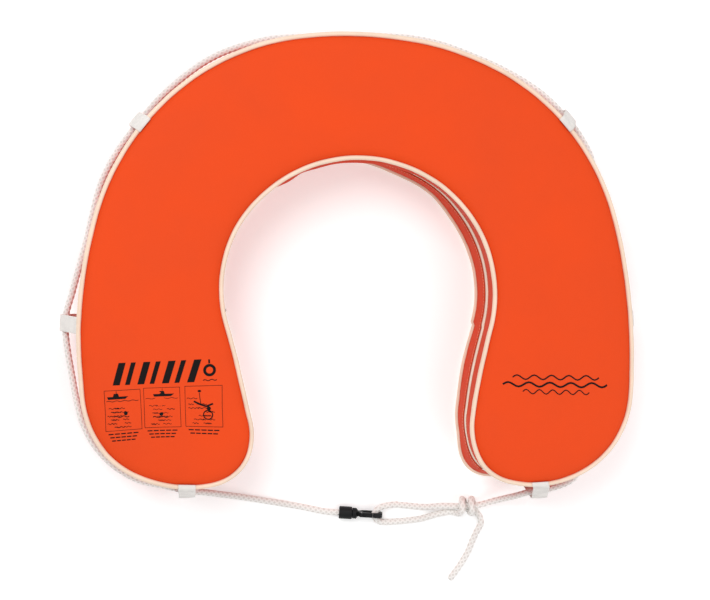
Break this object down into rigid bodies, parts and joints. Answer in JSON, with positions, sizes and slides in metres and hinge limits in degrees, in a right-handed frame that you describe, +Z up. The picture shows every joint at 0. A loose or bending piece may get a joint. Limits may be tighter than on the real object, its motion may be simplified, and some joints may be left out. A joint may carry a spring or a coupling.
{
  "type": "horseshoe lifebuoy",
  "caption": "Open horseshoe lifebuoy: foam core in a zipped, piped fabric cover, with a braided grab rope through webbing loops, closed across the mouth by a snap hook.",
  "frame": {"origin": "centre of the buoy's outline, on the floor under its back panel", "axes": "+Z up through the thickness towards the front panel, +Y towards the crown, -Y towards the open mouth, +X to the right seen from the front"},
  "size_m": [0.71, 0.6836, 0.114],
  "materials": {
    "foam": "matt closed-cell foam",
    "cover_cloth": "matt coated weave",
    "gusset_cloth": "matt coated weave",
    "piping": "satin vinyl",
    "zip_tape": "woven tape",
    "zip_coil": "glossy filament",
    "zip_metal": "nickel plated",
    "webbing": "woven webbing",
    "rope": "braided",
    "melted_rope": "melted",
    "hook_plastic": "satin moulded plastic",
    "pin_steel": "plain"
  },
  "bodies": {
    "buoy": {"core_foam_back": "foam", "core_foam_middle": "foam", "core_foam_front": "foam", "cover_back_panel": "cover_cloth", "cover_front_panel": "cover_cloth", "outer_gusset": "gusset_cloth", "inner_gusset_back": "gusset_cloth", "inner_gusset_front": "gusset_cloth", "front_piping": "piping", "back_piping": "piping", "zip_tape_front": "zip_tape", "zip_tape_back": "zip_tape", "zip_coil_front": "zip_coil", "zip_coil_back": "zip_coil", "zip_bottom_stop": "zip_metal", "zip_top_stop_back": "zip_metal", "zip_top_stop_front": "zip_metal", "webbing_loop_crown_left": "webbing", "webbing_loop_crown_right": "webbing", "webbing_loop_side_left": "webbing", "webbing_loop_side_right": "webbing", "webbing_loop_tip_left": "webbing", "webbing_loop_tip_right": "webbing", "rope_main": "rope", "rope_bight": "rope", "rope_knot": "rope", "rope_tail": "rope", "rope_stopper": "melted_rope", "hook_sleeve": "hook_plastic", "hook_body": "hook_plastic", "hook_gate_pin": "pin_steel"},
    "zip_slider": {"zip_slider": "zip_metal"},
    "zip_pull_tab": {"zip_pull_tab": "zip_metal"},
    "hook_gate": {"hook_gate": "hook_plastic"}
  },
  "joints": [
    {"name": "zip_travel", "type": "hinge", "parent": "buoy", "child": "zip_slider", "pos_m": [0, -0.0271, 0.055], "axis": [0, 0, -1], "range_deg": [0, 195]},
    {"name": "pull_tab_swing", "type": "hinge", "parent": "zip_slider", "child": "zip_pull_tab", "pos_m": [-0.15866, -0.04658, 0.055], "axis": [0, 0, -1], "range_deg": [0, 170]},
    {"name": "gate_swing", "type": "hinge", "parent": "buoy", "child": "hook_gate", "pos_m": [0.01166, -0.3047, 0.01841], "axis": [0.0663, 0.9978, 0], "range_deg": [0, 22], "stiffness_Nm_per_rad": 0.02, "springref_deg": -11.46}
  ]
}
